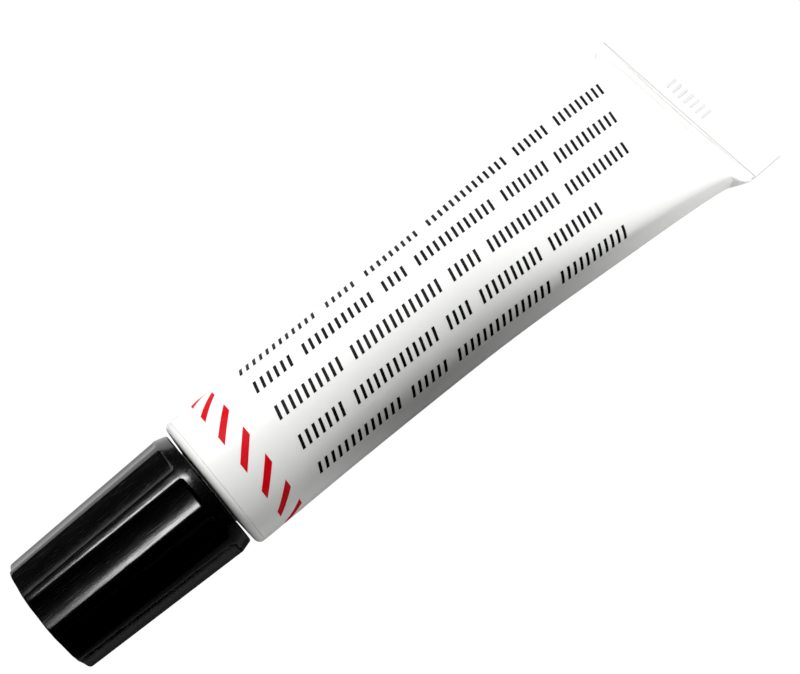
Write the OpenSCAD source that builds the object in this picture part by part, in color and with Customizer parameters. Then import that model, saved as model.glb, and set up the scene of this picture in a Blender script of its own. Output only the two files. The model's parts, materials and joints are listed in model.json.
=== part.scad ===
// A small squeeze tube of grease with a screw cap, lying on its side.
// Every piece is drawn on the tube's own axis: Z = 0 is the shoulder plane, the cap is above it,
// and the sleeve runs down from it to the flat seal. X points out of the printed front.
// lay_down() then rests the whole tube on its belly, with the cap towards -X and the front upwards.

/* [Sleeve] */
// Outside diameter of the sleeve at the shoulder
sleeve_d = 16; // [12:0.5:25]
// Length of the sleeve from the shoulder plane to the root of the seal
sleeve_len = 68; // [45:1:110]
// Wall of the sleeve
sleeve_wall = 0.45; // [0.3:0.05:0.7]
// How far along the sleeve it stays round: a larger number keeps it round for longer
round_hold = 2.4; // [1.8:0.1:4]
// How full the sleeve is at its tail: a smaller number is fuller
tail_slack = 0.65; // [0.5:0.01:0.9]
// Depth to which the soft belly is pressed flat where the tube lies on it
belly_sag = 0.2; // [0.05:0.01:0.22]

/* [Seal] */
// Length of the flat seal beyond its root
seal_len = 4.8; // [3:0.1:9]
// Thickness of the two walls where they are pressed together
seal_t = 0.6; // [0.4:0.05:1]
// Length over which the full sleeve flares into the seal
seal_flare = 2; // [1:0.1:4]
// Half height at which that flare begins, as a plain oval: squaring the section lowers it
flare_h = 3.75; // [2:0.05:5]

/* [Head] */
// Radius of the shoulder's rounded edge
shoulder_round = 0.8; // [0.3:0.1:1.5]
// Slope of the shoulder towards the neck, in degrees
shoulder_slope = 4; // [2:1:20]
// Wall of the head
head_wall = 0.9; // [0.6:0.05:1.3]
// Depth of the skirt that the sleeve is welded to
skirt_len = 5; // [3:0.5:9]
// Diameter of the neck over its thread
neck_d = 10; // [7:0.5:12]
// Height of the neck above the shoulder plane
neck_h = 8.4; // [5:0.1:12]
// Diameter of the nozzle where it leaves the neck
nozzle_base_d = 6.6; // [5:0.1:7]
// Diameter of the nozzle at its tip
nozzle_tip_d = 3.8; // [3:0.1:5]
// Height of the nozzle's tip above the shoulder plane
nozzle_h = 18.2; // [14:0.1:26]
// Diameter of the nozzle's mouth
mouth_d = 2.4; // [1:0.1:2.6]

/* [Cap] */
// Diameter of the cap over its lands, at the collar
cap_d = 15; // [13:0.1:22]
// Diameter of the cap over its lands, at the closed end
cap_top_d = 13.3; // [12:0.1:22]
// Radius of the rounded rim at the open end
rim_round = 0.3; // [0.2:0.05:1.2]
// Radius of the edge of the closed end
end_round = 0.25; // [0.1:0.05:1.2]
// Thickness of the closed end
crown_t = 2.1; // [1.2:0.1:4]
// Number of flutes round the cap
flutes = 10; // [6:1:16]
// Depth of each flute
flute_depth = 0.45; // [0.2:0.05:0.7]
// Width of the land between two flutes
land_w = 1.2; // [0.6:0.1:2]
// Width of the plain collar below the flutes
collar_w = 1.35; // [1:0.05:5]
// Turn of the flutes away from the front, in degrees
flute_turn = 13; // [0:1:36]
// Thickness of the sealing liner
liner_t = 1; // [0.5:0.1:2]

/* [Fits] */
// Gap between the shoulder and the cap's rim
rim_gap = 0.15; // [0.1:0.05:1]
// Running clearance between the neck and the cap's bore, on the radius
thread_gap = 0.1; // [0.05:0.01:0.2]
// Clearance of a piece that is pressed in place
seat_gap = 0.05; // [0.02:0.01:0.1]
// Clearance of the grease from the walls round it
fill_gap = 0.12; // [0.08:0.01:0.3]

/* [Hidden] */
$fn = 96;

// Sides of each ring of the sleeve, and steps along it
ring_sides = 48;
ring_steps = 16;
arc_steps = 6;

sleeve_r = sleeve_d / 2;
mid_r = sleeve_r - sleeve_wall / 2;
pillow_len = sleeve_len - seal_flare;
skirt_r = sleeve_r - sleeve_wall - seat_gap;
neck_r = neck_d / 2;
neck_bore_r = nozzle_base_d / 2 - head_wall / 2;
mouth_r = mouth_d / 2;

// The shoulder rises along its slope from the end of its rounded edge
edge_end_r = sleeve_r - shoulder_round * (1 - sin(shoulder_slope));
edge_end_z = shoulder_round * cos(shoulder_slope);
function shoulder_z(r) = edge_end_z + (edge_end_r - r) * tan(shoulder_slope);

bore_r = neck_r + thread_gap;
rim_z = shoulder_z(bore_r) + rim_gap;
liner_z = nozzle_h + seat_gap;
crown_z = liner_z + liner_t + seat_gap;
cap_z = crown_z + crown_t;
cap_r = cap_d / 2;
cap_top_r = cap_top_d / 2;
cap_taper = atan((cap_r - cap_top_r) / (cap_z - rim_z));
thread_top_z = neck_h + head_wall;
cavity_step = 0.3;
cavity_r = bore_r - cavity_step;
cavity_top_r = cavity_r - (crown_z - thread_top_z) * tan(cap_taper);

// The wall keeps its length round the tube, so a flatter section is a wider one
flat_power = 1.68;
function half_width(h) =
    let (share = pow(max(h - sleeve_wall / 2, 0) / mid_r, flat_power))
    sleeve_wall / 2 + mid_r * (PI / 2 - (PI / 2 - 1) * share);

// Towards the tail the section turns from an oval into a squarer one, which is lower at the same width
square_from = 0.46;
square_to = 0.84;
function squareness(share) =
    let (s = min(max((share - square_from) / (square_to - square_from), 0), 1))
    s * s * (3 - 2 * s);
square_loss = 0.21;
square_bend = 0.27;
function half_height(oval_h, square) =
    let (share = max(oval_h - sleeve_wall / 2, 0) / mid_r)
    sleeve_wall / 2 + mid_r * (1 - square_loss * square) * pow(share, 1 + square_bend * square);

// One ring of the filled sleeve: distance from the shoulder, half width, half height and squareness.
// The turn runs from 0 at the shoulder to 90 at the flare, and inset is measured from the outside.
function pillow_ring(turn, inset = 0) =
    let (oval_h = flare_h + (sleeve_r - flare_h) * pow(cos(turn), 2 * tail_slack))
    let (share = pow(sin(turn), 2 / round_hold))
    let (square = squareness(share))
    [(pillow_len - inset) * share, half_width(oval_h) - inset, half_height(oval_h, square) - inset, square];
function pillow(inset = 0, last = ring_steps) =
    [for (i = [0 : last]) pillow_ring(90 * i / ring_steps, inset)];

// The flare spreads to the seal's own width and falls to its thickness
seal_end = sleeve_len + seal_len;
seal_half_w = half_width(seal_t / 2);
flare_bend = 1.5;
function flare_ring(share) =
    let (start = pillow_ring(90))
    let (left = pow(1 - share, flare_bend))
    [pillow_len + seal_flare * share,
     seal_half_w + (start[1] - seal_half_w) * left,
     seal_t / 2 + (start[2] - seal_t / 2) * left,
     1];
flare_steps = 3;
function flare() = [for (i = [1 : flare_steps]) flare_ring(i / flare_steps)];

// The space inside narrows to a slit in the flare
slit_h = 0.1;
slit_share = 0.5;
slit_ring = [pillow_len + seal_flare * slit_share, flare_ring(slit_share)[1] - sleeve_wall, slit_h, 1];

// Corners of one ring, with a level side at its top and bottom, and no lower than the surface under the tube.
// A flat ring is cut off level at its half height.
flat_rise = 3;
function bent(x, power) = sign(x) * pow(abs(x), power);
function ring_points(ring, inset = 0, flat = false) =
    let (low = max(-ring[2], surface_x(-ring[0]) + inset))
    let (power = 1 - ring[3] / 2)
    [for (i = [0 : ring_sides - 1])
        let (a = 360 * (i + 0.5) / ring_sides)
        let (rise = ring[2] * bent(cos(a), power) * (flat ? flat_rise : 1))
        [max(low, min(ring[2], rise)), ring[1] * bent(sin(a), power), -ring[0]]];

// Faces of a skin over a row of rings, closed at both ends by a strip from side to side
function end_faces(first) =
    let (n = ring_sides)
    let (side = n / 4)
    [for (k = [0 : n / 2 - 2])
        let (top = first + (side - 1 - k + n) % n)
        let (next_top = first + (side - 2 - k + n) % n)
        let (bottom = first + (side + k) % n)
        let (next_bottom = first + (side + k + 1) % n)
        each [[bottom, top, next_top], [next_bottom, bottom, next_top]]];
function skin_faces(count) =
    let (n = ring_sides)
    concat(
        end_faces(0),
        [for (k = [0 : count - 2])
            for (i = [0 : n - 1])
                let (j = (i + 1) % n)
                each [
                    [(k + 1) * n + j, (k + 1) * n + i, k * n + i],
                    [k * n + j, (k + 1) * n + j, k * n + i]
                ]],
        [for (face = end_faces((count - 1) * n)) reversed(face)]
    );

function joined(lists) = [for (list = lists) each list];
function reversed(list) = [for (i = [len(list) - 1 : -1 : 0]) list[i]];

module skin(rows) {
    polyhedron(points = joined(rows), faces = skin_faces(len(rows)), convexity = 6);
}

function arc(centre, r, from, to) =
    [for (i = [0 : arc_steps])
        let (a = from + (to - from) * i / arc_steps)
        [centre[0] + r * cos(a), centre[1] + r * sin(a)]];

// The tube rests on the level sides of two neighbouring rings, under its centre of weight,
// and its soft belly spreads flat on the surface there
rest_step = 3;
level_share = cos(180 / ring_sides);
rest_a = pillow_ring(90 * rest_step / ring_steps);
rest_b = pillow_ring(90 * (rest_step + 1) / ring_steps);
rest_tilt = atan((rest_a[2] - rest_b[2]) * level_share / (rest_b[0] - rest_a[0]));
rest_z = sin(rest_tilt) * rest_a[0] + cos(rest_tilt) * rest_a[2] * level_share - belly_sag;
function surface_x(z) = -(rest_z + sin(rest_tilt) * z) / cos(rest_tilt);

// Ends of the resting tube along X, which put the middle of its length at X = 0
tail_x = cos(rest_tilt) * seal_end + sin(rest_tilt) * seal_t / 2;
cap_x = cos(rest_tilt) * (cap_z - end_round) + sin(rest_tilt) * (cap_top_r - end_round) + end_round;
rest_x = (cap_x - tail_x) / 2;

module lay_down() {
    translate([rest_x, 0, rest_z])
        rotate([0, rest_tilt - 90, 0])
            children();
}

// A hollow sock of one wall: up the inside to the shoulder, then down the outside to the seal's end
module tube_sleeve() {
    inside = reversed(concat(pillow(sleeve_wall), [slit_ring]));
    outside = concat(pillow(), flare());
    color("white")
        lay_down()
            skin(concat(
                [for (ring = inside) ring_points(ring, sleeve_wall)],
                [for (ring = outside) ring_points(ring)],
                [ring_points([sleeve_len + seal_t / 2, seal_half_w, seal_t / 2, 1], flat = true)],
                [ring_points([seal_end, seal_half_w, seal_t / 2, 1], flat = true)]
            ));
}

// Skirt, shoulder, neck and nozzle in one turned form. The sleeve's end butts under the shoulder's edge.
module tube_head() {
    edge_centre = [sleeve_r - shoulder_round, 0];
    color("whitesmoke")
        lay_down()
            rotate_extrude()
                polygon(concat(
                    [[skirt_r - head_wall, -skirt_len],
                     [skirt_r, -skirt_len],
                     [skirt_r, 0]],
                    arc(edge_centre, shoulder_round, 0, 90 - shoulder_slope),
                    [[neck_r, shoulder_z(neck_r)],
                     [neck_r, neck_h],
                     [nozzle_base_d / 2, neck_h],
                     [nozzle_tip_d / 2, nozzle_h],
                     [mouth_r, nozzle_h],
                     [mouth_r, neck_h],
                     [neck_bore_r, neck_h - head_wall],
                     [neck_bore_r, shoulder_z(neck_bore_r) - head_wall],
                     [skirt_r - head_wall, shoulder_z(skirt_r) - head_wall]]
                ));
}

// Grease fills the sleeve to just short of its flare, then the skirt, the neck and the nozzle
module grease_fill() {
    inset = sleeve_wall + fill_gap;
    tail_step = ring_steps - 2;
    below_skirt = [for (ring = pillow(inset, tail_step)) if (ring[0] > skirt_len + fill_gap) ring];
    skirt_fill_r = skirt_r - head_wall - fill_gap;
    neck_fill_r = neck_bore_r - fill_gap;
    mouth_fill_r = mouth_r - fill_gap;
    skirt_top = head_wall + fill_gap;
    head_fill = [
        [skirt_len + fill_gap, below_skirt[0][1], below_skirt[0][2], 0],
        [skirt_len + fill_gap, skirt_fill_r, skirt_fill_r, 0],
        [skirt_top - shoulder_z(skirt_r), skirt_fill_r, skirt_fill_r, 0],
        [skirt_top - shoulder_z(neck_fill_r), neck_fill_r, neck_fill_r, 0],
        [skirt_top - neck_h, neck_fill_r, neck_fill_r, 0],
        [fill_gap - neck_h, mouth_fill_r, mouth_fill_r, 0],
        [fill_gap - nozzle_h, mouth_fill_r, mouth_fill_r, 0]
    ];
    rings = concat(reversed(head_fill), below_skirt);
    color("lightyellow")
        lay_down()
            skin([for (ring = rings) ring_points(ring, inset)]);
}

// A hollow tapered cap with shallow flutes that run out through its closed end
module cap_shell() {
    lead_in = 0.4;
    rim_flat = 0.2;
    rim = min(rim_round, cap_r - bore_r - lead_in - rim_flat);
    color("black")
        lay_down()
            difference() {
                rotate_extrude()
                    polygon(concat(
                        [[bore_r + lead_in, rim_z]],
                        arc([cap_r - rim, rim_z + rim], rim, -90, 0),
                        arc([cap_top_r - end_round, cap_z - end_round], end_round, 0, 90),
                        [[0, cap_z],
                         [0, crown_z],
                         [cavity_top_r, crown_z],
                         [cavity_r, thread_top_z + head_wall],
                         [bore_r, thread_top_z],
                         [bore_r, rim_z + lead_in]]
                    ));
                for (i = [0 : flutes - 1])
                    rotate(flute_turn + 360 * (i + 0.5) / flutes)
                        flute_cut();
            }
}

// One round-bottomed cutter, parallel to the cap's tapered side and square-ended at the collar
module flute_cut() {
    run_out = 2;
    half_turn = 180 / flutes - asin(land_w / 2 / cap_r);
    edge_w = cap_r * sin(half_turn);
    edge_rise = cap_r * cos(half_turn) - cap_r + flute_depth;
    cut_r = (pow(edge_w, 2) + pow(edge_rise, 2)) / (2 * edge_rise);
    collar_r = cap_r - collar_w * tan(cap_taper);
    translate([collar_r - flute_depth, 0, rim_z + collar_w])
        rotate([0, -cap_taper, 0])
            translate([cut_r, 0, 0])
                cylinder(r = cut_r, h = cap_z - rim_z - collar_w + run_out);
}

// A soft disc across the closed end, which the nozzle's tip presses on
module cap_liner() {
    color("gainsboro")
        lay_down()
            translate([0, 0, liner_z])
                cylinder(r = cavity_top_r - seat_gap, h = liner_t);
}

tube_sleeve();
tube_head();
grease_fill();
cap_shell();
cap_liner();
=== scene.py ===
"""A small squeeze tube of grease with a fluted screw cap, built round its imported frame."""

import json
import math

import bpy
import numpy as np
from bpy.props import FloatProperty, FloatVectorProperty, IntProperty, PointerProperty
from mathutils import Matrix, Vector


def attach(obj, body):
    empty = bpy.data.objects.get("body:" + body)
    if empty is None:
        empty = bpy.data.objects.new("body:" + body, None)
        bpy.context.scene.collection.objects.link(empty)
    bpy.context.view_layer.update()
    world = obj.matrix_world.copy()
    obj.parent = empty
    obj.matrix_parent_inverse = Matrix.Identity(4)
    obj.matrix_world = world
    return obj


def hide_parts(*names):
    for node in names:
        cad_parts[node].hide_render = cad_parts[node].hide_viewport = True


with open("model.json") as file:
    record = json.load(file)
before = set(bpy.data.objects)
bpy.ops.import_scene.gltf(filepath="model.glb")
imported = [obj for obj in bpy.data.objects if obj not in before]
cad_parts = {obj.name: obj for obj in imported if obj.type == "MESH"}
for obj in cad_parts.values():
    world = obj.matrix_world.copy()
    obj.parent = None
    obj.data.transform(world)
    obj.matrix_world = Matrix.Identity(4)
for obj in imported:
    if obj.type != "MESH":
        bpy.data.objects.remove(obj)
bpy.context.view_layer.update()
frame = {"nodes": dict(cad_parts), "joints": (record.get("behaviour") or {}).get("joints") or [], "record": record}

bl_info = {
    "name": "Squeeze Tube",
    "version": (1, 0, 0),
    "blender": (4, 5, 0),
    "location": "View3D > Sidebar > Tube",
    "description": "Builds a squeeze tube with its print, its grease and a fluted screw cap",
    "category": "Add Mesh",
}

MM = 0.001

# The tube's own frame: X out of the printed front, Y across the seal, Z out through the cap.
# Its origin lies on the axis, in the plane where the sleeve meets the shoulder.
TURN = next(joint for joint in frame["joints"] if joint["name"] == "cap_turn")
AXIS = Vector(TURN["axis"]).normalized()
ACROSS = Vector((0, 1, 0))
FRONT = ACROSS.cross(AXIS)
TUBE_FRAME = Matrix((FRONT, ACROSS, AXIS)).transposed().to_4x4()
TUBE_FRAME.translation = Vector(TURN["pos_m"])
THREAD_PITCH = frame["record"]["behaviour"]["couplings"][0]["ratio"] * 2 * math.pi


def node_span(name):
    """Lowest and highest point of a CAD node along the tube's axis, and its widest radius."""
    to_tube = TUBE_FRAME.inverted()
    points = np.array([to_tube @ vertex.co for vertex in frame["nodes"][name].data.vertices])
    radius = np.hypot(points[:, 0], points[:, 1])
    return points[:, 2].min(), points[:, 2].max(), radius.max()


SLEEVE_LOW, _, _ = node_span("tube_sleeve")
GREASE_LOW, _, _ = node_span("grease_fill")
HEAD_LOW, HEAD_TOP, HEAD_RADIUS = node_span("tube_head")
CAP_RIM, CAP_TOP, CAP_RADIUS = node_span("cap_shell")
LINER_LOW, LINER_TOP, LINER_RADIUS = node_span("cap_liner")

# Two radii this close are the same one
NEAR = 0.01 * MM

# How far red, green and blue light spreads in white plastic
MILKY = {"Subsurface_Radius": (1, 0.95, 0.85), "Subsurface_Scale": 0.5 * MM}

# Sides of the round pieces that have no thread
PLAIN_SIDES = 96

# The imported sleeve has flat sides, and the smooth one touches the middle of each of them
PACKED_SIDES = 48
SIDE_SHARE = math.cos(math.pi / PACKED_SIDES)


def length(description, millimetres):
    return FloatProperty(description=description, default=millimetres * MM, unit="LENGTH", precision=5)


def angle(description, degrees):
    return FloatProperty(description=description, default=math.radians(degrees), subtype="ANGLE")


def share(description, default):
    return FloatProperty(description=description, default=default)


def watts(description, default):
    return FloatProperty(description=description, default=default, unit="POWER", precision=5)


def number(description, default, low, high):
    return IntProperty(description=description, default=default, min=low, max=high)


def colour(description, default):
    return FloatVectorProperty(description=description, default=default, subtype="COLOR", min=0, max=1)


def place(description, millimetres):
    metres = [value * MM for value in millimetres]
    return FloatVectorProperty(description=description, default=metres, subtype="TRANSLATION", precision=5)


class SleeveSettings(bpy.types.PropertyGroup):
    """Sizes and colour of the sleeve and its seal."""

    radius: length("Outside radius at the shoulder", HEAD_RADIUS / MM)
    wall: length("Thickness of the wall", 0.45)
    root: length("Root of the seal below the shoulder", 68)
    end: length("Cut end of the seal below the shoulder", -SLEEVE_LOW / MM)
    seal: length("Thickness of the seal", 0.6)
    flare: length("Length of the fall to the seal", 2)
    flare_height: length("Half height of the plain oval where the fall begins", 3.75)
    round_hold: share("How far along the sleeve it stays round", 2.4)
    tail_slack: share("How empty the sleeve is at its tail", 0.65)
    square_from: share("Share of the length where it starts to turn square", 0.46)
    square_to: share("Share of the length where it is squarest", 0.84)
    weld: length("Depth of the two weld lines at the seal's root", 0.15)
    weld_width: length("Width of a weld line", 0.32)
    weld_line: length("Straight weld line below the root", 0.5)
    weld_bow: length("How far the other line bows to the shoulder", 0.4)
    weld_reach: length("Distance from the axis where the two lines meet", 11.4)
    # The weld lines' grey is painted shade, standing in for the shade in their grooves
    weld_painted_shade: share("How grey the weld lines are", 0.42)
    dent: length("Depth of the wall's uneven places", 0.05)
    colour: colour("Colour of the plastic", (0.85, 0.85, 0.835))


class PrintSettings(bpy.types.PropertyGroup):
    """Sizes and colours of the print, and of the raised strokes on the seal."""

    start: length("Start of the lines below the shoulder", 8.7)
    line_gap: length("Pitch of the lines", 3.85)
    first_line: length("Place of the first line round the front", 6.7)
    stroke: length("Width of a slanted stroke", 0.36)
    stroke_height: length("Height of a stroke across its line", 1.55)
    stroke_slant: length("Lean of a stroke along its line", 0.4)
    stroke_pitch: length("Pitch of the strokes in a line", 0.88)
    space: length("Gap between two groups of strokes", 1.1)
    band: length("Middle of the band below the shoulder", 4)
    band_width: length("Width of the band along the tube", 2.6)
    dashes: number("Slanted dashes round the band", 14, 6, 48)
    dash_lean: share("Lean of a dash as a share of the dashes' pitch", 0.8)
    dash_width: share("Width of a dash as a share of the dashes' pitch", 0.32)
    film: length("Height of the ink above the plastic", 0.012)
    marks: number("Raised strokes across the seal", 7, 0, 20)
    mark_pitch: length("Pitch of the raised strokes", 0.95)
    mark_length: length("Length of a raised stroke along the tube", 1.7)
    mark_width: length("Width of a raised stroke", 0.4)
    mark_height: length("Height of a raised stroke", 0.05)
    # The raised strokes are painted darker than the seal: painted shade for their relief
    mark_painted_shade: share("Brightness of a raised stroke against the sleeve's", 0.8)
    ink: colour("Colour of the lines", (0.010, 0.010, 0.011))
    accent: colour("Colour of the band", (0.60, 0.006, 0.012))


class HeadSettings(bpy.types.PropertyGroup):
    """Sizes and colour of the head: skirt, shoulder, neck and nozzle."""

    wall: length("Thickness of the wall", 0.9)
    edge_round: length("Radius of the shoulder's edge", 0.8)
    slope: angle("Slope of the shoulder towards the neck", 4)
    neck: length("Radius of the neck over its thread", 5)
    core: length("Radius of the neck at the root of its thread", 4.4)
    neck_top: length("Height of the neck above the shoulder plane", 8.4)
    nozzle_base: length("Radius of the nozzle at the neck", 3.3)
    nozzle_tip: length("Radius of the nozzle at its tip", 1.9)
    mouth: length("Radius of the nozzle's mouth", 1.2)
    colour: colour("Colour of the plastic", (0.84, 0.84, 0.82))


class GreaseSettings(bpy.types.PropertyGroup):
    """Fit and colour of the grease."""

    gap: length("Clearance from the walls round it", 0.12)
    dome: length("Rise of the grease in the nozzle's mouth", 0.25)
    colour: colour("Colour of the grease", (0.84, 0.85, 0.79))


class CapSettings(bpy.types.PropertyGroup):
    """Sizes and colour of the cap."""

    top_radius: length("Radius over the lands at the closed end", 6.65)
    rim_round: length("Radius of the rim at the open end", 0.3)
    end_round: length("Radius of the edge of the closed end", 0.3)
    bore: length("Radius of the bore outside its thread", 5.1)
    thread_crest: length("Radius of the bore over its thread", 4.52)
    flutes: number("Flutes round the cap", 10, 6, 16)
    flute_depth: length("Depth of a flute in its middle", 0.45)
    flute_turn: angle("Turn of the first land away from the front", 6)
    land: length("Width of the land between two flutes", 1.2)
    collar: length("Width of the plain collar below the flutes", 1.35)
    collar_lean: angle("Lean of the collar to the rim", 16)
    run_out: length("Length over which a flute rises to the collar", 0.45)
    edge: length("Rounding of the edges of a land", 0.04)
    colour: colour("Colour of the plastic", (0.004, 0.004, 0.0042))


class LinerSettings(bpy.types.PropertyGroup):
    """Form and colour of the sealing disc in the cap."""

    edge_round: length("Radius of the disc's edges", 0.12)
    imprint: length("Depth of the nozzle's imprint", 0.12)
    colour: colour("Colour of the foam", (0.78, 0.78, 0.76))


class StageSettings(bpy.types.PropertyGroup):
    """Camera, floor and light."""

    eye: place("Place of the camera", (-23.82, -38.64, 126.62))
    look_at: place("Point in the middle of the picture", (-0.53, -0.49, 7.90))
    roll: angle("Turn of the camera about its line of sight", -9.82)
    lens: FloatProperty(description="Focal length for a 36 mm sensor", default=52, unit="CAMERA")
    floor: colour("Colour of the floor", (0.9, 0.9, 0.9))
    floor_size: length("Width of the floor", 6000)
    floor_lift: share("How far the floor's glow hides its shadows", 0.9)
    glow: share("Strength of the floor's glow", 1.24)
    bounce: share("Share of its colour that the floor sends back", 0.34)
    # Glossy faces see the floor's near side darker: a painted shadow of the tube
    near_painted_shadow: share("Share of that on the near side, in glossy faces", 0.4)
    light_distance: length("Distance of the key and strip lights from the tube", 450)
    key_angle: angle("Lean of the key light from straight above", 26)
    key_shift: length("Middle of the key light along the tube", 100)
    key_length: length("Length of the key light along the tube", 200)
    key_width: length("Width of the key light across the tube", 170)
    key_power: watts("Power of the key light", 2.9)
    strip_angle: angle("Lean of the strip light from straight above", 19.5)
    strip_shift: length("Middle of the strip light along the tube", 50)
    strip_length: length("Length of the strip light along the tube", 330)
    strip_width: length("Width of the strip light across the tube", 70)
    strip_power: watts("Power of the strip light", 1.3)
    fill_size: length("Width of the two fill lights", 20)
    fill_spread: angle("Width of the beam of a fill light", 70)
    tail_place: place("Place of the tail's fill", (50, -40, 12))
    tail_aim: place("Point that the tail's fill faces", (35, -11, 4))
    tail_power: watts("Power of the tail's fill", 0.0019)
    shoulder_place: place("Place of the shoulder's fill", (-23, -31, 10))
    shoulder_aim: place("Point that the shoulder's fill faces", (-24, -7, 7))
    shoulder_power: watts("Power of the shoulder's fill", 0.0005)
    ambient: share("Strength of the light from all round", 0.09)
    black: share("Brightness that the picture shows as black", 0.008)


def ramp(value, start, stop):
    """A smooth step from 0 at start to 1 at stop."""
    part = np.clip((value - start) / (stop - start), 0, 1)
    return part * part * (3 - 2 * part)


def bent(value, power):
    """A power of a number that keeps its sign."""
    return np.sign(value) * np.abs(value) ** power


def rounded(corners, spacing, closed=False, steps=6):
    """An outline through (radius, height, rounding) corners, its points no further apart than spacing."""
    points = []
    count = len(corners)
    for i, (x, y, rounding) in enumerate(corners):
        here = np.array((x, y))
        inner = closed or 0 < i < count - 1
        if not inner or rounding == 0:
            points.append(here)
            continue
        back = np.array(corners[i - 1][:2]) - here
        ahead = np.array(corners[(i + 1) % count][:2]) - here
        back = back / np.linalg.norm(back)
        ahead = ahead / np.linalg.norm(ahead)
        half = math.acos(np.clip(back @ ahead, -1, 1)) / 2
        middle = (back + ahead) / np.linalg.norm(back + ahead)
        centre = here + middle * rounding / math.sin(half)
        start = here + back * rounding / math.tan(half) - centre
        stop = here + ahead * rounding / math.tan(half) - centre
        sweep = math.pi - 2 * half
        for t in np.linspace(0, 1, steps + 1):
            turned = start * math.sin((1 - t) * sweep) + stop * math.sin(t * sweep)
            points.append(centre + turned / math.sin(sweep))
    if closed:
        points.append(points[0])
    result = []
    for a, b in zip(points, points[1:]):
        parts = max(1, math.ceil(np.linalg.norm(b - a) / spacing))
        result.extend(a + (b - a) * k / parts for k in range(parts))
    return np.array(result if closed else [*result, points[-1]])


def turned_rings(outline, angles, change=0):
    """Rings on the tube's axis from an outline, with a change of their radii at each angle."""
    radius = outline[:, :1] + np.broadcast_to(change, (len(outline), len(angles)))
    height = np.broadcast_to(outline[:, 1:], radius.shape)
    return np.stack([radius * np.cos(angles), radius * np.sin(angles), height], axis=-1)


def even_angles(sides):
    return np.arange(sides) * 2 * math.pi / sides


def thread(angles, height, low, high, depth):
    """Height of a right-hand thread's ridge above its root, run out at both ends."""
    half_root = 0.72 * MM
    half_crest = 0.3 * MM
    run_out = 0.9 * MM
    lead = height - THREAD_PITCH * angles / (2 * math.pi)
    off = np.abs(lead - THREAD_PITCH * np.round(lead / THREAD_PITCH))
    ends = ramp(height, low, low + run_out) * ramp(height, high, high - run_out)
    return depth * ramp(off, half_root, half_crest) * ends


def quads(rows, columns, closed_rows=False, closed_columns=True):
    """Faces of a net of points that is stored row by row."""
    row = np.arange(rows if closed_rows else rows - 1)[:, None]
    column = np.arange(columns if closed_columns else columns - 1)[None, :]
    next_row = (row + 1) % rows
    next_column = (column + 1) % columns
    corners = [
        row * columns + column,
        row * columns + next_column,
        next_row * columns + next_column,
        next_row * columns + column,
    ]
    return np.stack(corners, axis=-1).reshape(-1, 4)


SHARP_ANGLE = math.radians(38)


def make_mesh(name, points, faces):
    """A new smooth-shaded object, from points in the tube's frame."""
    turn = np.array(TUBE_FRAME)
    points = np.asarray(points) @ turn[:3, :3].T + turn[:3, 3]
    mesh = bpy.data.meshes.new(name)
    mesh.from_pydata(points.tolist(), [], [list(map(int, face)) for face in faces])
    if mesh.validate():
        raise RuntimeError(f"{name} has faces that don't make a mesh")
    mesh.polygons.foreach_set("use_smooth", [True] * len(mesh.polygons))
    mesh.set_sharp_from_angle(angle=SHARP_ANGLE)
    made = bpy.data.objects.new(name, mesh)
    bpy.context.scene.collection.objects.link(made)
    return made


def skin(name, rings, first=None, last=None):
    """A closed object over a row of rings: a loop, or with each end closed to a height on the axis."""
    rows, columns, _ = rings.shape
    points = rings.reshape(-1, 3)
    loop = first is None
    faces = list(quads(rows, columns, closed_rows=loop))
    if not loop:
        sides = list(zip(range(columns), [*range(1, columns), 0]))
        top = len(points) - columns
        faces += [(len(points), b, a) for a, b in sides]
        faces += [(len(points) + 1, top + a, top + b) for a, b in sides]
        points = np.concatenate([points, [(0, 0, first), (0, 0, last)]])
    return make_mesh(name, points, faces)


def set_up(piece, body, material, node=None):
    """Gives a piece its finish, and hangs it on the body that carries it."""
    piece.data.materials.append(material)
    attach(piece, body)
    if node:
        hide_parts(node)


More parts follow.
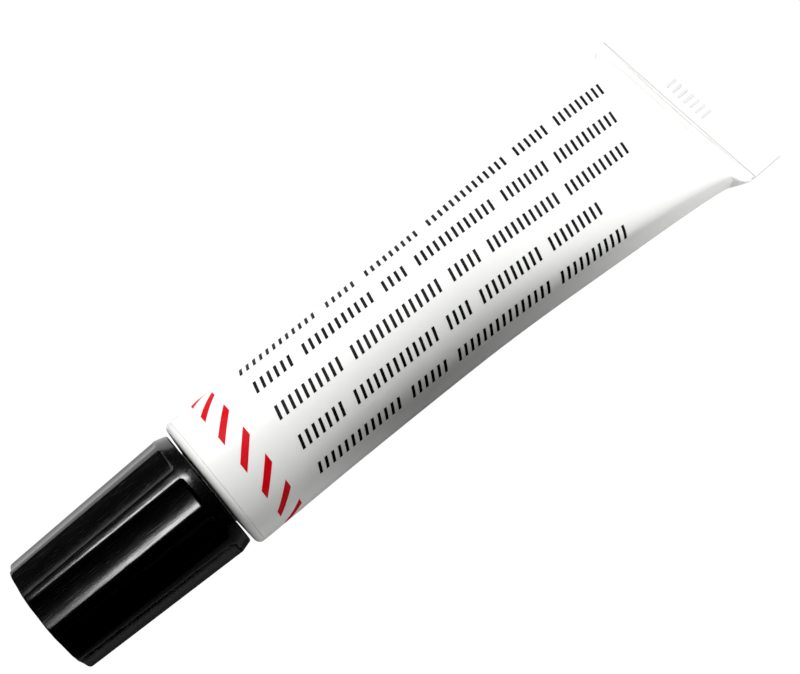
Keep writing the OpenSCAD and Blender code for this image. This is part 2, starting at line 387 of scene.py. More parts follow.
class Finish:
    """A node material in the making. Patterns lie in the tube's frame, with sizes in metres."""

    def __init__(self, name):
        self.material = bpy.data.materials.new(name)
        self.material.use_nodes = True
        self.tree = self.material.node_tree
        self.shader = self.tree.nodes["Principled BSDF"]
        to_tube = self.add("ShaderNodeMapping", {
            "Location": TUBE_FRAME.translation,
            "Rotation": TUBE_FRAME.to_euler(),
            "Vector": self.add("ShaderNodeTexCoord").outputs["Object"],
        })
        to_tube.vector_type = "TEXTURE"
        self.place = to_tube.outputs["Vector"]

    def feed(self, socket, value):
        """Links an input to an output, or sets it to a plain value."""
        if isinstance(value, bpy.types.NodeSocket):
            self.tree.links.new(value, socket)
        elif socket.type == "RGBA":
            socket.default_value = (*value, 1)
        else:
            socket.default_value = value

    def add(self, kind, inputs=None):
        """A new node, with some of its inputs fed."""
        node = self.tree.nodes.new(kind)
        for name, value in (inputs or {}).items():
            self.feed(node.inputs[name], value)
        return node

    def set(self, **inputs):
        """The material, with inputs of its shader fed, each named in the shader's own words."""
        for name, value in inputs.items():
            self.feed(self.shader.inputs[name.replace("_", " ")], value)
        return self.material

    def axis(self, name):
        """A point's place along one axis of the tube's frame."""
        return self.add("ShaderNodeSeparateXYZ", {"Vector": self.place}).outputs[name]

    def math(self, operation, *values):
        """A sum, a product or the like of outputs and numbers."""
        node = self.add("ShaderNodeMath", dict(enumerate(values)))
        node.operation = operation
        return node.outputs["Value"]

    def noise(self, size, detail=2, squeeze=1):
        """Noise, with lengths along the tube squeezed to draw it out into lines."""
        place = self.add("ShaderNodeMapping", {"Scale": (1, 1, squeeze), "Vector": self.place})
        inputs = {"Scale": 1 / size, "Detail": detail, "Vector": place.outputs["Vector"]}
        return self.add("ShaderNodeTexNoise", inputs).outputs["Fac"]

    def spread(self, factor, low, high, start=0.25, stop=0.75):
        """A pattern's values from start to stop, spread from low to high."""
        limits = {"From Min": start, "From Max": stop, "To Min": low, "To Max": high}
        return self.add("ShaderNodeMapRange", {"Value": factor, **limits}).outputs["Result"]

    def tint(self, factor, first, second):
        """A mix of two colours, each of them plain or a pattern."""
        node = self.tree.nodes.new("ShaderNodeMix")
        node.data_type = "RGBA"
        below, above = (socket for socket in node.inputs if socket.type == "RGBA")
        self.feed(node.inputs["Factor"], factor)
        self.feed(below, first)
        self.feed(above, second)
        return next(socket for socket in node.outputs if socket.type == "RGBA")

    def clouded(self, tone, dark, size, detail=2):
        """A colour with slightly darker clouds in it."""
        return self.tint(self.noise(size, detail), shaded(tone, dark), tone)

    def bump(self, height, depth, under=None):
        inputs = {"Height": height, "Strength": 1, "Distance": depth}
        if under:
            inputs["Normal"] = under
        return self.add("ShaderNodeBump", inputs).outputs["Normal"]


def shaded(tone, factor):
    return tuple(c * factor for c in tone)


def sleeve_plastic(name, sleeve, shade=1.0):
    """Soft extruded plastic: satin, faintly drawn along its length, with painted shade on the weld lines."""
    finish = Finish(name)
    grain = finish.noise(0.8 * MM, 3)
    lines = finish.noise(0.3 * MM, squeeze=0.02)
    side = finish.axis("Y")
    square = finish.math("MULTIPLY", side, side)
    bow = finish.spread(square, sleeve.weld_bow, 0, 0, sleeve.weld_reach**2)
    off = finish.math("ADD", finish.axis("Z"), sleeve.root + sleeve.weld_line)
    straight = finish.math("ABSOLUTE", off)
    bowed = finish.math("ABSOLUTE", finish.math("SUBTRACT", off, bow))
    off_line = finish.math("MINIMUM", straight, bowed)
    # Painted shade: the plastic goes grey along the two weld lines, over the real grooves
    weld = finish.spread(off_line, sleeve.weld_painted_shade, 0, sleeve.weld_width / 5, sleeve.weld_width / 2)
    # A shade below one darkens the whole plastic; the raised strokes use it as painted shade
    tone = finish.clouded(shaded(sleeve.colour, shade), 0.965, 13 * MM)
    # The grey of that painted shade
    grey = shaded(sleeve.colour, 0.4)
    return finish.set(
        Base_Color=finish.tint(weld, tone, grey),
        Roughness=finish.spread(grain, 0.36, 0.46),
        Normal=finish.bump(lines, 0.004 * MM, finish.bump(grain, 0.006 * MM)),
        Subsurface_Weight=0.15,
        **MILKY,
    )


def head_plastic(tone):
    """Moulded plastic, more matt than the sleeve."""
    finish = Finish("head_plastic")
    grain = finish.noise(0.25 * MM, 3)
    return finish.set(
        Base_Color=finish.clouded(tone, 0.95, 6 * MM),
        Roughness=finish.spread(grain, 0.40, 0.54),
        Normal=finish.bump(grain, 0.006 * MM),
        Subsurface_Weight=0.2,
        **MILKY,
    )


def grease_gel(tone):
    """Clear, slightly milky paste with small air bubbles."""
    finish = Finish("grease_gel")
    bubbles = finish.spread(finish.noise(0.22 * MM, 1), 0, 1, 0.62, 0.72)
    return finish.set(
        Base_Color=finish.clouded(tone, 0.92, 1.6 * MM, 3),
        Roughness=finish.spread(finish.noise(1.6 * MM, 3), 0.10, 0.22),
        Normal=finish.bump(bubbles, 0.01 * MM),
        Transmission_Weight=0.45,
        IOR=1.4,
        Subsurface_Weight=0.3,
        Subsurface_Scale=0.8 * MM,
    )


def cap_plastic(tone):
    """Glossy black plastic with fine scratches along its length."""
    finish = Finish("cap_plastic")
    scratches = finish.noise(0.10 * MM, 3, squeeze=0.025)
    grain = finish.noise(0.16 * MM)
    return finish.set(
        Base_Color=finish.clouded(tone, 0.7, 2.5 * MM, 3),
        Roughness=finish.spread(scratches, 0.17, 0.34, 0.45, 0.8),
        Normal=finish.bump(scratches, 0.004 * MM, finish.bump(grain, 0.0012 * MM)),
        Specular_IOR_Level=0.75,
    )


def liner_foam(tone):
    """Closed-cell foam with a fine pitted skin."""
    finish = Finish("liner_foam")
    cells = finish.add("ShaderNodeTexVoronoi", {"Scale": 1 / (0.22 * MM), "Vector": finish.place})
    pits = cells.outputs["Distance"]
    return finish.set(
        Base_Color=finish.clouded(tone, 0.9, 1.5 * MM),
        Roughness=finish.spread(pits, 0.62, 0.82, 0, 0.6),
        Normal=finish.bump(pits, 0.02 * MM),
    )


def ink_film(name, tone):
    """Printed ink, a little thin and uneven in places."""
    finish = Finish(name)
    worn = finish.spread(finish.noise(1.2 * MM, 4), 0, 1, 0.45, 0.8)
    grain = finish.noise(0.09 * MM)
    thin = tuple(c * 0.9 + 0.012 for c in tone)
    return finish.set(
        Base_Color=finish.tint(worn, tone, thin),
        Roughness=finish.spread(grain, 0.52, 0.68),
        Normal=finish.bump(grain, 0.003 * MM),
        Specular_IOR_Level=0.2,
    )


class SleeveForm:
    """The sleeve's surface: round at the shoulder, and wider, flatter and squarer towards the seal."""

    FLAT_POWER = 1.68
    FLAT_RISE = 3
    FLARE_BEND = 1.5
    SQUARE_LOSS = 0.21
    SQUARE_BEND = 0.27

    # The dents' waves along the sleeve, and how far they twist and swing round it
    DENT_WAVES = 9.1
    DENT_TWIST = 4.2
    DENT_SWING = 1.3
    SWING_START = 0.6

    # Shares of the length over which the dents set in and end
    DENT_START = (0.08, 0.2)
    DENT_END = (0.9, 0.75)

    GIRTH_STEPS = 91

    def __init__(self, sleeve):
        self.sleeve = sleeve
        self.middle = sleeve.radius - sleeve.wall / 2
        self.pillow_end = sleeve.root - sleeve.flare

    def fullness(self, oval):
        """Half height of the middle of an oval's wall, as a share of the round one's."""
        return np.maximum(oval - self.sleeve.wall / 2, 0) / self.middle

    def half_width(self, oval):
        """The wall keeps its length round the tube, so a flatter oval is a wider one."""
        flat = self.fullness(oval) ** self.FLAT_POWER
        return self.sleeve.wall / 2 + self.middle * (math.pi / 2 - (math.pi / 2 - 1) * flat)

    def half_height(self, oval, square):
        """A squarer section is lower than an oval of the same width."""
        full = self.fullness(oval) ** (1 + self.SQUARE_BEND * square)
        return self.sleeve.wall / 2 + self.middle * (1 - self.SQUARE_LOSS * square) * full

    def section(self, distance):
        """Half width, half height and squareness of the sleeve at a distance below the shoulder."""
        s = self.sleeve
        along = np.clip(distance / self.pillow_end, 0, 1)
        slack = np.sqrt(1 - along**s.round_hold) ** (2 * s.tail_slack)
        oval = s.flare_height + (s.radius - s.flare_height) * slack
        square = ramp(along, s.square_from, s.square_to)
        left = (1 - np.clip((distance - self.pillow_end) / s.flare, 0, 1)) ** self.FLARE_BEND
        seal_width = self.half_width(s.seal / 2)
        width = seal_width + (self.half_width(oval) - seal_width) * left
        height = s.seal / 2 + (self.half_height(oval, square) - s.seal / 2) * left
        return width, height, square

    def weld_lines(self, distance, side):
        """Depth of the two fine grooves that the welding jaws leave along the root of the seal."""
        s = self.sleeve
        off = s.root + s.weld_line - distance
        bow = s.weld_bow * np.maximum(1 - (side / s.weld_reach) ** 2, 0)
        off_line = np.minimum(np.abs(off), np.abs(off - bow))
        return s.weld * ramp(off_line, s.weld_width / 2, s.weld_width / 6)

    def dents(self, distance, angles):
        """Depth of the soft wall's uneven places, none at the shoulder and the seal."""
        along = distance / self.pillow_end
        swing = self.DENT_SWING * np.sin(2 * angles + self.SWING_START)
        wave = np.sin(self.DENT_WAVES * along + swing) * np.cos(3 * angles + self.DENT_TWIST * along)
        fade = ramp(along, *self.DENT_START) * ramp(along, *self.DENT_END)
        return self.sleeve.dent * (1 + wave) / 2 * fade

    def surface(self, distance, angles, inset=0.0):
        """Points of the surface, or of one a little inside it, no lower than what the tube lies on."""
        distance, angles, inset = np.broadcast_arrays(distance, angles, inset)
        width, height, square = self.section(distance)
        size = SIDE_SHARE * (1 - self.dents(distance, angles) / self.sleeve.radius)
        height = height * size - inset
        width = width * size - inset
        power = 1 - square / 2
        side = width * bent(np.sin(angles), power)
        height = height - self.weld_lines(distance, side)
        rise = height * bent(np.cos(angles), power)
        pressed = np.clip(self.FLAT_RISE * rise, -height, height)
        flat = ramp(distance, self.sleeve.root, self.sleeve.root + self.sleeve.seal / 2)
        rise = rise + (pressed - rise) * flat
        ground = -(TUBE_FRAME.translation.z - AXIS.z * distance) / FRONT.z
        rise = np.maximum(rise, ground + inset)
        return np.stack([rise, side, -distance], axis=-1)

    def lifted(self, distance, angles, lift):
        """Points above the surface, square to it."""
        step = 0.02 * MM
        turn = 0.002
        along = self.surface(distance + step, angles) - self.surface(distance - step, angles)
        around = self.surface(distance, angles + turn) - self.surface(distance, angles - turn)
        normal = np.cross(along, around)
        normal = normal / np.linalg.norm(normal, axis=-1, keepdims=True)
        return self.surface(distance, angles) + normal * lift

    def girth_angle(self, distance, girth):
        """Angle of the point that lies so far round the sleeve from the middle of the front."""
        quarter = math.pi / 2 * np.sin(np.linspace(0, math.pi / 2, self.GIRTH_STEPS)) ** 2
        turns = np.concatenate([quarter, math.pi / 2 + quarter[1:]])
        width, height, square = self.section(distance)
        result = np.empty(distance.shape)
        for i in np.ndindex(distance.shape):
            power = 1 - square[i] / 2
            rise = height[i] * bent(np.cos(turns), power)
            side = width[i] * bent(np.sin(turns), power)
            reach = np.append(0, np.cumsum(np.hypot(np.diff(rise), np.diff(side))))
            result[i] = np.copysign(np.interp(abs(girth[i]), reach, turns), girth[i])
        return result


class BuildStep:
    """What the operators share: each builds something in the scene."""

    def execute(self, context):
        self.build(context.scene)
        return {"FINISHED"}


class TUBE_OT_sleeve(BuildStep, bpy.types.Operator):
    """Build the sleeve with its wall, flare and flat seal"""

    bl_idname = "tube.build_sleeve"
    bl_label = "Sleeve"

    SIDES = 192
    OUTER_ROWS = 130
    INNER_ROWS = 44
    BEND_ROWS = 20
    SEAL_ROWS = 16
    EDGE_ROWS = 5

    # The sleeve is round as far as this row, so the ones before it are left out
    FIRST_ROW = 3
    TAIL_CROWD = 1.6

    def build(self, scene):
        sleeve = scene.tube_sleeve
        form = SleeveForm(sleeve)
        angles = even_angles(self.SIDES)
        edge = 0.12 * MM

        def pillow_rows(count):
            turn = math.pi / 2 * (1 - (1 - np.linspace(0, 1, count)) ** self.TAIL_CROWD)
            return form.pillow_end * np.sin(turn) ** (2 / sleeve.round_hold)

        curl = np.linspace(0, math.pi / 2, self.EDGE_ROWS)
        weld_end = sleeve.root + sleeve.weld_line + sleeve.weld_width
        outer_rows = np.concatenate([
            edge * (1 - np.cos(curl)),
            pillow_rows(self.OUTER_ROWS)[self.FIRST_ROW:],
            np.linspace(form.pillow_end, sleeve.root, self.BEND_ROWS)[1:],
            np.linspace(sleeve.root, weld_end, self.BEND_ROWS)[1:],
            np.linspace(weld_end, sleeve.end - edge, self.SEAL_ROWS)[1:],
            sleeve.end - edge * (1 - np.sin(curl[1:])),
        ])
        inset = np.zeros(len(outer_rows))
        inset[:len(curl)] = edge * (1 - np.sin(curl))
        inset[1 - len(curl):] = edge * (1 - np.cos(curl[1:]))
        outside = [form.surface(d, angles, i) for d, i in zip(outer_rows, inset)]

        inner_rows = pillow_rows(self.INNER_ROWS) * (form.pillow_end - sleeve.wall) / form.pillow_end
        inside = [form.surface(d, angles, sleeve.wall) for d in inner_rows[::-1]]
        slit = -form.pillow_end - sleeve.flare / 2
        piece = skin("sleeve", np.array(inside + outside), slit, -sleeve.end)
        set_up(piece, "tube", sleeve_plastic("sleeve_plastic", sleeve), "tube_sleeve")


class Film:
    """A thin printed or raised layer on the sleeve, made of patches: nets of distances and girths."""

    def __init__(self, form, height):
        self.form = form
        self.height = height
        self.points = []
        self.faces = []

    def patch(self, distance, girth):
        """One closed patch, sunk as deep into the surface as it stands above it."""
        angles = self.form.girth_angle(distance, girth)
        rows, columns = distance.shape
        under = rows * columns
        first = sum(len(p) for p in self.points)
        top = quads(rows, columns, False, False) + first
        net = np.arange(under).reshape(rows, columns) + first
        rim = np.concatenate([net[0, :-1], net[:-1, -1], net[-1, :0:-1], net[:0:-1, 0]])
        ahead = np.roll(rim, -1)
        sides = np.stack([ahead, rim, rim + under, ahead + under], axis=-1)
        self.faces += [*top, *(top[:, ::-1] + under), *sides]
        for lift in (self.height, -self.height):
            self.points.append(self.form.lifted(distance, angles, lift).reshape(-1, 3))

    def bar(self, start, end, girth, width):
        """A bar with round, slightly blunt ends along the tube."""
        blunt = 0.25
        step = 0.8 * MM
        columns = 7
        curl = np.linspace(blunt, math.pi / 2, 6)
        tip = width / 2
        ends = tip * (1 - np.cos(curl))
        middle = np.arange(start + tip, end - tip, step)[1:]
        along = np.concatenate([start + ends, middle, end - ends[::-1]])
        half = np.concatenate([tip * np.sin(curl), np.full(len(middle), tip), tip * np.sin(curl[::-1])])
        across = np.linspace(-1, 1, columns)
        self.patch(np.repeat(along[:, None], columns, axis=1), girth + half[:, None] * across)

    def stroke(self, start, girth, layout):
        """A slanted stroke across the tube."""
        up = np.linspace(-0.5, 0.5, 5)[:, None]
        width = np.linspace(0, layout.stroke, 3)[None, :]
        distance = start + layout.stroke_slant * up + width
        self.patch(distance, girth + layout.stroke_height * np.broadcast_to(up, distance.shape))

    def object(self, name):
        return make_mesh(name, np.concatenate(self.points), self.faces)


class TUBE_OT_print(BuildStep, bpy.types.Operator):
    """Print lines and a band on the sleeve, and raise plain strokes on the seal"""

    bl_idname = "tube.build_print"
    bl_label = "Print"

    # Number of strokes in each group of each line
    LINES = (
        (12, 5, 9, 14, 6, 9),
        (6, 11, 4, 13, 8, 11),
        (10, 14, 5, 12, 11),
        (7, 13, 4, 10, 9),
        (13, 6, 15, 11),
    )

    def build(self, scene):
        layout = scene.tube_print
        sleeve = scene.tube_sleeve
        form = SleeveForm(sleeve)

        lines = Film(form, layout.film)
        for row, groups in enumerate(self.LINES):
            girth = layout.first_line - row * layout.line_gap
            start = layout.start
            for strokes in groups:
                for i in range(strokes):
                    lines.stroke(start + i * layout.stroke_pitch, girth, layout)
                start += strokes * layout.stroke_pitch + layout.space
        set_up(lines.object("print_lines"), "tube", ink_film("line_ink", layout.ink))

        band = Film(form, layout.film)
        round_length = 2 * math.pi * sleeve.radius * SIDE_SHARE
        pitch = round_length / layout.dashes
        along = np.linspace(-0.5, 0.5, 9)[:, None]
        across = np.linspace(-0.5, 0.5, 5)[None, :]
        for i in range(layout.dashes):
            middle = (i + 0.5) * pitch - round_length / 2
            girth = middle + pitch * (layout.dash_lean * along + layout.dash_width * across)
            band.patch(layout.band + layout.band_width * np.broadcast_to(along, girth.shape), girth)
        set_up(band.object("print_band"), "tube", ink_film("band_ink", layout.accent))

        marks = Film(form, layout.mark_height)
        start = (sleeve.root + sleeve.end - layout.mark_length) / 2
        for i in range(layout.marks):
            girth = ((layout.marks - 1) / 2 - i) * layout.mark_pitch
            marks.bar(start, start + layout.mark_length, girth, layout.mark_width)
        # The strokes' plastic is painted darker, as painted shade of their relief
        plastic = sleeve_plastic("seal_plastic", sleeve, layout.mark_painted_shade)
        set_up(marks.object("seal_marks"), "tube", plastic)


def shoulder_height(head, radius):
    """Height of the shoulder's slope at a radius, above the plane where the sleeve ends."""
    edge_radius = HEAD_RADIUS - head.edge_round * (1 - math.sin(head.slope))
    edge_height = head.edge_round * math.cos(head.slope)
    return edge_height + (edge_radius - radius) * math.tan(head.slope)


def skirt_radius(sleeve):
    weld = 0.05 * MM
    return sleeve.radius - sleeve.wall - weld


class TUBE_OT_head(BuildStep, bpy.types.Operator):
    """Build the head: a skirt inside the sleeve, the shoulder, a threaded neck and the nozzle"""

    bl_idname = "tube.build_head"
    bl_label = "Head"

    SIDES = 144

    def build(self, scene):
        head = scene.tube_head
        skirt = skirt_radius(scene.tube_sleeve)
        inner_skirt = skirt - head.wall
        bore = head.nozzle_base - head.wall / 2
        edge = HEAD_RADIUS - NEAR
        soft = 0.3 * MM
        skirt_round = 0.2 * MM
        tip_round = 0.25 * MM
        mouth_round = 0.15 * MM
        # The shoulder's edge ends just above the sleeve
        edge_round = 0.995 * head.edge_round
        corners = [
            (inner_skirt, HEAD_LOW, skirt_round),
            (skirt, HEAD_LOW, skirt_round),
            (skirt, 0, 0),
            (edge, 0, 0),
            (edge, shoulder_height(head, edge), edge_round),
            (head.core, shoulder_height(head, head.core), soft),
            (head.core, head.neck_top, soft),
            (head.nozzle_base, head.neck_top, soft),
            (head.nozzle_tip, HEAD_TOP, tip_round),
            (head.mouth, HEAD_TOP, mouth_round),
            (head.mouth, head.neck_top, soft),
            (bore, head.neck_top - head.wall, soft),
            (bore, shoulder_height(head, bore) - head.wall, soft),
            (inner_skirt, shoulder_height(head, skirt) - head.wall, soft),
        ]
        outline = rounded(corners, 0.22 * MM, closed=True)
        angles = even_angles(self.SIDES)
        low = shoulder_height(head, head.core) + 0.5 * MM
        high = head.neck_top - 0.4 * MM
        outer = np.abs(outline[:, :1] - head.core) < NEAR
        ridge = outer * thread(angles, outline[:, 1:], low, high, head.neck - head.core)
        piece = skin("head", turned_rings(outline, angles, ridge))
        set_up(piece, "tube", head_plastic(head.colour), "tube_head")


class TUBE_OT_grease(BuildStep, bpy.types.Operator):
    """Fill the sleeve, the neck and the nozzle with grease"""

    bl_idname = "tube.build_grease"
    bl_label = "Grease"

    SLEEVE_ROWS = 60

    def build(self, scene):
        grease, head, sleeve = scene.tube_grease, scene.tube_head, scene.tube_sleeve
        form = SleeveForm(sleeve)
        angles = even_angles(PLAIN_SIDES)
        skirt = skirt_radius(sleeve) - head.wall - grease.gap
        neck = head.nozzle_base - head.wall / 2 - grease.gap
        mouth = head.mouth - grease.gap
        under_wall = head.wall + grease.gap
        top = HEAD_TOP - grease.gap
        low = HEAD_LOW - grease.gap
        soft = 0.25 * MM
        centre = 0.05 * MM
        outline = rounded([
            (centre, top, 0),
            (mouth, top - grease.dome, soft),
            (mouth, head.neck_top - grease.gap, soft),
            (neck, head.neck_top - under_wall, soft),
            (neck, shoulder_height(head, neck) - under_wall, soft),
            (skirt, shoulder_height(head, skirt) - under_wall, soft),
            (skirt, low, 0),
        ], 0.6 * MM)
        upper = turned_rings(outline, angles)
        rows = np.linspace(-low, -GREASE_LOW, self.SLEEVE_ROWS)
        lower = [form.surface(d, angles, sleeve.wall + grease.gap) for d in rows]
        piece = skin("grease", np.concatenate([upper, lower]), top, GREASE_LOW)
        set_up(piece, "tube", grease_gel(grease.colour), "grease_fill")


class CapForm:
    """The cap's outside: a tapered side with round-bottomed flutes that rise to the collar."""

    SAMPLES = 721
    FLUTE_SIDES = 42
    EDGE_CROWD = 7
    EDGE_WIDTH = math.radians(0.9)

    # Share of its run-out over which a flute sets in
    SET_IN = 1 / 12

    def __init__(self, cap):
        self.cap = cap
        self.sector = 2 * math.pi / cap.flutes
        self.half_flute = self.sector / 2 - math.asin(cap.land / 2 / CAP_RADIUS)
        edge = CAP_RADIUS * math.sin(self.half_flute)
        rise = CAP_RADIUS * math.cos(self.half_flute) - CAP_RADIUS + cap.flute_depth
        self.cutter = (edge**2 + rise**2) / (2 * rise)

    def angles(self):
        """Angles round the cap, closer together at the edges of the lands."""
        fine = np.linspace(-self.sector / 2, self.sector / 2, self.SAMPLES)
        off_edge = (np.abs(fine) - self.half_flute) / self.EDGE_WIDTH
        crowd = 1 + self.EDGE_CROWD * np.exp(-(off_edge**2))
        reach = np.append(0, np.cumsum((crowd[1:] + crowd[:-1]) / 2))
        shares = np.arange(self.FLUTE_SIDES) / self.FLUTE_SIDES
        steps = np.interp(shares * reach[-1], reach, fine)
        starts = self.cap.flute_turn + (np.arange(self.cap.flutes) + 0.5) * self.sector
        return (starts[:, None] + steps[None, :]).ravel()

    def side(self, height):
        """Radius over the lands."""
        up = (height - CAP_RIM) / (CAP_TOP - CAP_RIM)
        return CAP_RADIUS + (self.cap.top_radius - CAP_RADIUS) * up

    def flutes(self, radius, height, angles):
        """Depth of the flutes below a ring's radius."""
        cap = self.cap
        turn = (angles - cap.flute_turn) % self.sector - self.sector / 2
        run = np.clip((height - CAP_RIM - cap.collar) / cap.run_out, 0, 1)
        axis = self.side(height) - cap.flute_depth * np.sqrt(run * (2 - run)) + self.cutter
        bottom = axis * np.cos(turn) - np.sqrt(self.cutter**2 - (axis * np.sin(turn)) ** 2)
        low = np.minimum(radius, bottom)
        soft = cap.edge * np.log1p(np.exp(-np.abs(radius - bottom) / cap.edge))
        return (radius - low + soft) * ramp(run, 0, self.SET_IN)


class TUBE_OT_cap(BuildStep, bpy.types.Operator):
    """Build the fluted cap with the thread in its bore"""

    bl_idname = "tube.build_cap"
    bl_label = "Cap"

    END_ROWS = 18

    def build(self, scene):
        cap = scene.tube_cap
        head = scene.tube_head
        form = CapForm(cap)
        angles = form.angles()
        centre = 0.1 * MM
        gate = 0.9 * MM
        gate_round = 0.05 * MM
        dish = 0.1 * MM
        lead_in = 0.4 * MM
        step_in = 0.3 * MM
        soft = 0.2 * MM
        seat = 0.05 * MM
        cavity_top = LINER_RADIUS + seat
        crown = LINER_TOP + seat
        thread_top = head.neck_top + head.wall
        collar = CAP_RIM + cap.collar

        flute_ends = collar + cap.run_out * np.linspace(1, 0, self.END_ROWS) ** 2
        outer = rounded([
            (centre, CAP_TOP - dish, 0),
            (gate, CAP_TOP - dish, gate_round),
            (gate + dish, CAP_TOP, gate_round),
            (cap.top_radius, CAP_TOP, cap.end_round),
            *((form.side(z), z, 0) for z in flute_ends),
            (form.side(collar) - cap.collar * math.tan(cap.collar_lean), CAP_RIM, cap.rim_round),
            (cap.bore + lead_in, CAP_RIM, 0),
        ], 0.7 * MM, steps=9)
        cut = form.flutes(outer[:, :1], outer[:, 1:], angles)
        outside = turned_rings(outer, angles, -cut)

        inner = rounded([
            (cap.bore + lead_in, CAP_RIM, 0),
            (cap.bore, CAP_RIM + lead_in, soft / 2),
            (cap.bore, thread_top, soft),
            (cap.bore - step_in, thread_top + head.wall, soft),
            (cavity_top, crown, soft),
            (centre, crown, 0),
        ], 0.25 * MM)[1:]
        low = CAP_RIM + 0.7 * MM
        high = thread_top - 0.3 * MM
        depth = cap.bore - cap.thread_crest
        bored = np.abs(inner[:, :1] - cap.bore) < NEAR
        ridge = bored * thread(angles + math.pi, inner[:, 1:], low, high, depth)
        inside = turned_rings(inner, angles, -ridge)
        piece = skin("cap", np.concatenate([outside, inside]), CAP_TOP - dish, crown)
        set_up(piece, "cap", cap_plastic(cap.colour), "cap_shell")


class TUBE_OT_liner(BuildStep, bpy.types.Operator):
    """Build the sealing disc, with the ring that the nozzle has pressed into it"""

    bl_idname = "tube.build_liner"
    bl_label = "Liner"

    def build(self, scene):
        liner = scene.tube_liner
        head = scene.tube_head
        pressed = LINER_LOW + liner.imprint
        outer_slope = 0.25 * MM
        inner_slope = 0.2 * MM
        soft = 0.08 * MM
        centre = 0.05 * MM
        outline = rounded([
            (centre, LINER_TOP, 0),
            (LINER_RADIUS, LINER_TOP, liner.edge_round),
            (LINER_RADIUS, LINER_LOW, liner.edge_round),
            (head.nozzle_tip + outer_slope, LINER_LOW, soft),
            (head.nozzle_tip, pressed, soft),
            (head.mouth, pressed, soft),
            (head.mouth - inner_slope, LINER_LOW, soft),
            (centre, LINER_LOW, 0),
        ], 0.3 * MM)
        rings = turned_rings(outline, even_angles(PLAIN_SIDES))
        piece = skin("liner", rings, LINER_TOP, LINER_LOW)
        set_up(piece, "cap_seal", liner_foam(liner.colour), "cap_liner")


def aimed(start, aim, roll=0.0):
    """Place and turn of a camera or a light that looks from one point to another."""
    look = Vector(aim) - Vector(start)
    turn = look.to_track_quat("-Z", "Y").to_matrix() @ Matrix.Rotation(roll, 3, "Z")
    return Matrix.Translation(start) @ turn.to_4x4()


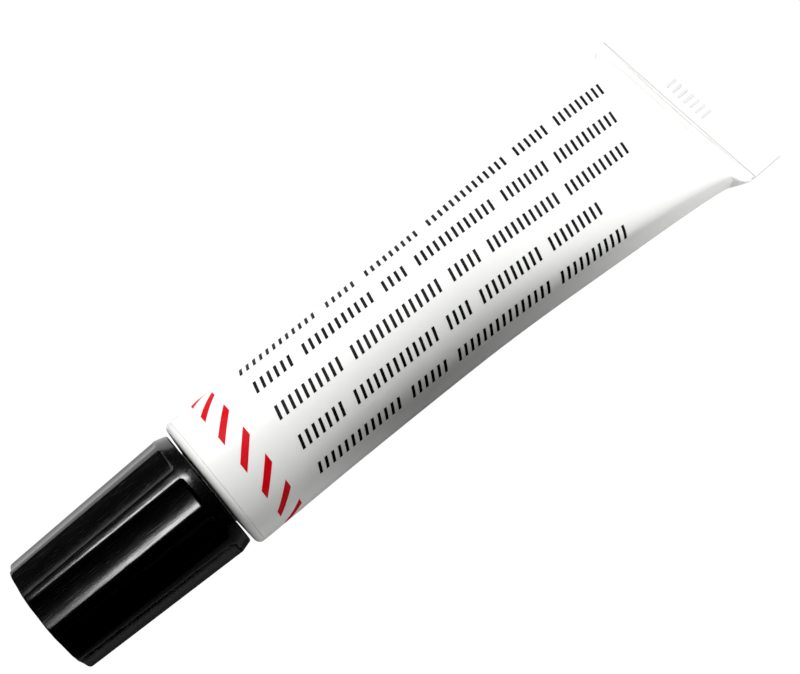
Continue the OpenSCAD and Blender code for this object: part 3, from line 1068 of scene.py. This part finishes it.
class TUBE_OT_stage(BuildStep, bpy.types.Operator):
    """Set up the camera, the floor and the light"""

    bl_idname = "tube.build_stage"
    bl_label = "Stage"

    def build(self, scene):
        stage = scene.tube_stage
        self.add_camera(scene, stage)
        self.add_floor(scene, stage)
        self.add_light(scene, stage, "key").visible_glossy = False
        self.add_light(scene, stage, "strip").visible_diffuse = False
        self.add_fill(scene, stage, "tail")
        self.add_fill(scene, stage, "shoulder")
        self.set_world(scene, stage)
        self.set_contrast(scene, stage)

    def set_contrast(self, scene, stage):
        """A plain picture whose darkest tones fall to black."""
        view = scene.view_settings
        view.view_transform = "Standard"
        view.use_curve_mapping = True
        view.curve_mapping.black_level = [stage.black] * 3
        view.curve_mapping.update()

    def put(self, scene, data, matrix):
        """A new object in the scene, with its data's name."""
        made = bpy.data.objects.new(data.name, data)
        made.matrix_world = matrix
        scene.collection.objects.link(made)
        return made

    def add_camera(self, scene, stage):
        lens = bpy.data.cameras.new("camera")
        lens.lens = stage.lens
        lens.clip_start = 5 * MM
        scene.camera = self.put(scene, lens, aimed(stage.eye, stage.look_at, stage.roll))

    def add_floor(self, scene, stage):
        half = stage.floor_size / 2
        drop = 0.02 * MM
        sides = ((-half, -half), (half, -half), (half, half), (-half, half))
        mesh = bpy.data.meshes.new("floor")
        mesh.from_pydata([(x, y, -drop) for x, y in sides], [], [(0, 1, 2, 3)])
        mesh.materials.append(self.floor_paper(stage))
        floor = self.put(scene, mesh, Matrix())

    def floor_paper(self, stage):
        """Pale paper whose glow lifts the shadows that the camera sees. In gloss its near side is darker, a
        painted shadow of the tube.
        """
        finish = Finish("floor_paper")
        path = finish.add("ShaderNodeLightPath")
        fade = 20 * MM
        bounce = shaded(stage.floor, stage.bounce)
        # Painted shadow: in gloss the floor is darker on the near side, where the tube's shadow falls
        far = finish.spread(finish.axis("Y"), 0, 1, -fade, fade)
        gloss_with_painted_shadow = finish.tint(far, shaded(bounce, stage.near_painted_shadow), stage.floor)
        matt = finish.spread(path.outputs["Is Glossy Ray"], 1, 0, 0, 1)
        base = finish.tint(matt, gloss_with_painted_shadow, bounce)
        paper = finish.clouded(stage.floor, 0.985, 40 * MM)
        glow = finish.add("ShaderNodeEmission", {"Strength": stage.glow, "Color": paper})
        mix = finish.add("ShaderNodeMixShader", {
            "Fac": finish.spread(path.outputs["Is Camera Ray"], 0, stage.floor_lift, 0, 1),
            1: finish.shader.outputs["BSDF"],
            2: glow.outputs["Emission"],
        })
        surface = finish.tree.nodes["Material Output"].inputs["Surface"]
        finish.feed(surface, mix.outputs["Shader"])
        return finish.set(Base_Color=base, Roughness=0.9, Specular_IOR_Level=0.1)

    def add_light(self, scene, stage, name):
        """A soft light over the tube: the key shapes its forms, and the strip shows only in gloss."""
        def setting(word):
            return getattr(stage, f"{name}_{word}")

        light = bpy.data.lights.new(name, "AREA")
        light.shape = "RECTANGLE"
        light.size = setting("length")
        light.size_y = setting("width")
        light.energy = setting("power")
        along = Vector((1, 0, 0))
        lean = Vector((0, math.sin(setting("angle")), math.cos(setting("angle"))))
        middle = along * setting("shift") + TUBE_FRAME.translation * Vector((0, 0, 1))
        turn = Matrix((along, lean.cross(along), lean)).transposed()
        over = Matrix.Translation(middle + lean * stage.light_distance)
        return self.put(scene, light, over @ turn.to_4x4())

    def add_fill(self, scene, stage, end):
        """A small light that brightens one end of the tube's shaded side, and shows in nothing."""
        light = bpy.data.lights.new(f"{end}_fill", "AREA")
        light.size = stage.fill_size
        light.spread = stage.fill_spread
        light.energy = getattr(stage, f"{end}_power")
        matrix = aimed(getattr(stage, f"{end}_place"), getattr(stage, f"{end}_aim"))
        lamp = self.put(scene, light, matrix)
        lamp.visible_camera = False
        lamp.visible_glossy = False

    def set_world(self, scene, stage):
        """Even light from all round, which the camera itself sees as white."""
        world = bpy.data.worlds.new("studio")
        world.use_nodes = True
        tree = world.node_tree
        background = tree.nodes["Background"]
        background.inputs["Color"].default_value = (1, 1, 1, 1)
        path = tree.nodes.new("ShaderNodeLightPath")
        level = tree.nodes.new("ShaderNodeMapRange")
        level.inputs["To Min"].default_value = stage.ambient
        tree.links.new(path.outputs["Is Camera Ray"], level.inputs["Value"])
        tree.links.new(level.outputs["Result"], background.inputs["Strength"])
        scene.world = world


class TUBE_PT_panel(bpy.types.Panel):
    """Buttons and sizes for the tube"""

    bl_idname = "TUBE_PT_panel"
    bl_label = "Squeeze Tube"
    bl_space_type = "VIEW_3D"
    bl_region_type = "UI"
    bl_category = "Tube"

    def draw(self, context):
        for name, operator, _ in STEPS:
            box = self.layout.box()
            box.operator(operator.bl_idname)
            settings = getattr(context.scene, name)
            for field in settings.__annotations__:
                box.prop(settings, field, text=field.replace("_", " ").title())


# The operators in building order, each with its settings and their name in the scene
STEPS = (
    ("tube_sleeve", TUBE_OT_sleeve, SleeveSettings),
    ("tube_print", TUBE_OT_print, PrintSettings),
    ("tube_head", TUBE_OT_head, HeadSettings),
    ("tube_grease", TUBE_OT_grease, GreaseSettings),
    ("tube_cap", TUBE_OT_cap, CapSettings),
    ("tube_liner", TUBE_OT_liner, LinerSettings),
    ("tube_stage", TUBE_OT_stage, StageSettings),
)


def register():
    for name, operator, settings in STEPS:
        bpy.utils.register_class(settings)
        setattr(bpy.types.Scene, name, PointerProperty(type=settings))
        bpy.utils.register_class(operator)
    bpy.utils.register_class(TUBE_PT_panel)


def unregister():
    bpy.utils.unregister_class(TUBE_PT_panel)
    for name, operator, settings in reversed(STEPS):
        bpy.utils.unregister_class(operator)
        delattr(bpy.types.Scene, name)
        bpy.utils.unregister_class(settings)


def main():
    register()
    for _, operator, _ in STEPS:
        group, action = operator.bl_idname.split(".")
        getattr(getattr(bpy.ops, group), action)()


if __name__ == "__main__":
    main()
